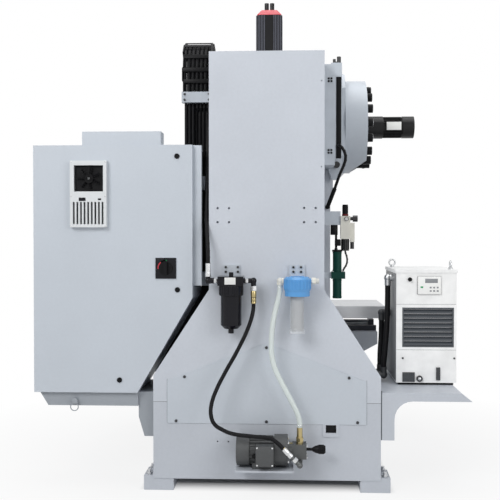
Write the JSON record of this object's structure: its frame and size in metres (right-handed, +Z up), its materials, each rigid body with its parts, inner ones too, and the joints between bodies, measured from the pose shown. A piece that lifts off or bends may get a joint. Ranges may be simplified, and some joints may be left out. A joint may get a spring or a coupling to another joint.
{
  "type": "cnc machining center",
  "caption": "Vertical machining center without its enclosure: cast bed and column, moving table and spindle head, side tool magazine, electrical cabinet, chiller and filter pump.",
  "frame": {"origin": "on the floor, at the centre of the four corner anchor holes", "axes": "+X the operator's right, +Y the machine's rear, +Z up"},
  "size_m": [2.692, 2.6845, 3.1912],
  "materials": {
    "cast_paint": "satin light grey paint on cast iron",
    "sheet_paint": "satin light grey paint on sheet steel",
    "steel": "ground or zinc-plated steel",
    "motor_black": "satin black paint",
    "motor_grey": "cast aluminium",
    "black_plastic": "matte black plastic",
    "lock_zinc": "satin plated zinc",
    "hose_rubber": "black rubber",
    "clear_tube": "clear plastic",
    "filter_black": "gloss black paint",
    "filter_blue": "gloss blue plastic",
    "filter_white": "pleated filter cloth",
    "cream_plastic": "cream plastic",
    "green_paint": "gloss green paint"
  },
  "bodies": {
    "frame": {"bed": "cast_paint", "column": "cast_paint", "arm_gearbox": "cast_paint", "pump_shelf": "cast_paint", "chiller_shelf": "cast_paint", "rear_cover": "sheet_paint", "cabinet_shell": "sheet_paint", "cabinet_tray": "sheet_paint", "magazine_bracket": "sheet_paint", "magazine_cover": "sheet_paint", "chiller_case": "sheet_paint", "chiller_louvre": "sheet_paint", "fasteners": "steel", "guide_rails": "steel", "brackets": "steel", "mounting_panel": "steel", "chiller_fittings": "steel", "y_motor": "motor_black", "z_motor": "motor_black", "magazine_gearmotor": "motor_black", "pump_motor": "motor_grey", "pump_body": "motor_grey", "energy_chain": "black_plastic", "cable_bundle": "hose_rubber", "black_hose": "hose_rubber", "supply_hose": "hose_rubber", "return_hose": "hose_rubber", "clear_hose": "clear_tube", "blue_filter_bowl": "clear_tube", "black_filter_head": "filter_black", "black_filter_bowl": "filter_black", "blue_filter_head": "filter_blue", "blue_filter_element": "filter_white", "air_unit": "cream_plastic", "air_dryer": "green_paint"},
    "saddle": {"saddle": "cast_paint", "x_ways": "steel", "x_motor": "motor_black"},
    "table": {"table": "steel"},
    "head": {"head": "cast_paint", "spindle_housing": "steel", "spindle_motor": "motor_black"},
    "spindle": {"spindle": "steel"},
    "x_screw": {"x_screw": "steel"},
    "y_screw": {"y_screw": "steel"},
    "z_screw": {"z_screw": "steel"},
    "magazine": {"magazine_disc": "steel", "tool_pots": "black_plastic"},
    "arm_sleeve": {"arm_sleeve": "steel"},
    "change_arm": {"change_arm": "steel"},
    "door": {"door": "sheet_paint", "heat_exchanger": "sheet_paint"},
    "door_fan": {"door_fan": "black_plastic"},
    "switch_handle": {"switch_handle": "black_plastic"},
    "lock_top": {"lock_top": "lock_zinc"},
    "lock_middle": {"lock_middle": "lock_zinc"},
    "lock_bottom": {"lock_bottom": "lock_zinc"},
    "regulator_knob": {"regulator_knob": "black_plastic"},
    "pump_handle": {"pump_handle": "black_plastic"},
    "chiller_knob": {"chiller_knob": "black_plastic"}
  },
  "joints": [
    {"name": "x_axis", "type": "slide", "parent": "saddle", "child": "table", "axis": [1, 0, 0], "range_m": [-0.34, 0.66]},
    {"name": "y_axis", "type": "slide", "parent": "frame", "child": "saddle", "axis": [0, 1, 0], "range_m": [-0.3, 0.3]},
    {"name": "z_axis", "type": "slide", "parent": "frame", "child": "head", "axis": [0, 0, 1], "range_m": [-0.6, 0], "deforming": ["energy_chain"]},
    {"name": "x_screw_turn", "type": "hinge", "parent": "saddle", "child": "x_screw", "pos_m": [0, -0.48, 0.882], "axis": [1, 0, 0], "continuous": true},
    {"name": "y_screw_turn", "type": "hinge", "parent": "frame", "child": "y_screw", "pos_m": [0, 0, 0.585], "axis": [0, 1, 0], "continuous": true},
    {"name": "z_screw_turn", "type": "hinge", "parent": "frame", "child": "z_screw", "pos_m": [0, 0.215, 2], "axis": [0, 0, 1], "continuous": true},
    {"name": "spindle_spin", "type": "hinge", "parent": "head", "child": "spindle", "pos_m": [0, -0.48, 1.79], "axis": [0, 0, 1], "continuous": true},
    {"name": "magazine_spin", "type": "hinge", "parent": "frame", "child": "magazine", "pos_m": [-0.6, -0.48, 2.415], "axis": [1, 0, 0], "continuous": true},
    {"name": "arm_swing", "type": "hinge", "parent": "frame", "child": "arm_sleeve", "pos_m": [-0.36, -0.48, 1.83], "axis": [0, 0, 1], "range_deg": [0, 90]},
    {"name": "arm_drop", "type": "slide", "parent": "arm_sleeve", "child": "change_arm", "axis": [0, 0, 1], "range_m": [-0.11, 0]},
    {"name": "door_swing", "type": "hinge", "parent": "frame", "child": "door", "pos_m": [1.44, 0.986, 1.36], "axis": [0, 0, -1], "range_deg": [0, 115]},
    {"name": "fan_spin", "type": "hinge", "parent": "door", "child": "door_fan", "pos_m": [1.088, 1.018, 1.92], "axis": [0, 1, 0], "continuous": true},
    {"name": "switch_turn", "type": "hinge", "parent": "door", "child": "switch_handle", "pos_m": [0.617, 1.01, 1.37], "axis": [0, 1, 0], "range_deg": [0, 90]},
    {"name": "lock_top_turn", "type": "hinge", "parent": "door", "child": "lock_top", "pos_m": [0.548, 1, 2.056], "axis": [0, 1, 0], "range_deg": [0, 90]},
    {"name": "lock_middle_turn", "type": "hinge", "parent": "door", "child": "lock_middle", "pos_m": [0.546, 1, 1.238], "axis": [0, 1, 0], "range_deg": [0, 90]},
    {"name": "lock_bottom_turn", "type": "hinge", "parent": "door", "child": "lock_bottom", "pos_m": [0.906, 1, 0.68], "axis": [0, 1, 0], "range_deg": [0, 90]},
    {"name": "regulator_turn", "type": "hinge", "parent": "frame", "child": "regulator_knob", "pos_m": [-0.508, 0.56, 1.72], "axis": [0, 0, 1], "range_deg": [-360, 360]},
    {"name": "pump_handle_turn", "type": "hinge", "parent": "frame", "child": "pump_handle", "pos_m": [-0.3, 1.1, 0.291], "axis": [1, 0, 0], "range_deg": [-360, 360]},
    {"name": "chiller_knob_turn", "type": "hinge", "parent": "frame", "child": "chiller_knob", "pos_m": [-0.91, 0.72, 1.29], "axis": [0, 1, 0], "range_deg": [0, 90]}
  ],
  "couplings": [
    {"joint": "x_screw_turn", "follows": "x_axis", "rad_per_m": 523.6},
    {"joint": "y_screw_turn", "follows": "y_axis", "rad_per_m": 523.6},
    {"joint": "z_screw_turn", "follows": "z_axis", "rad_per_m": 523.6}
  ]
}
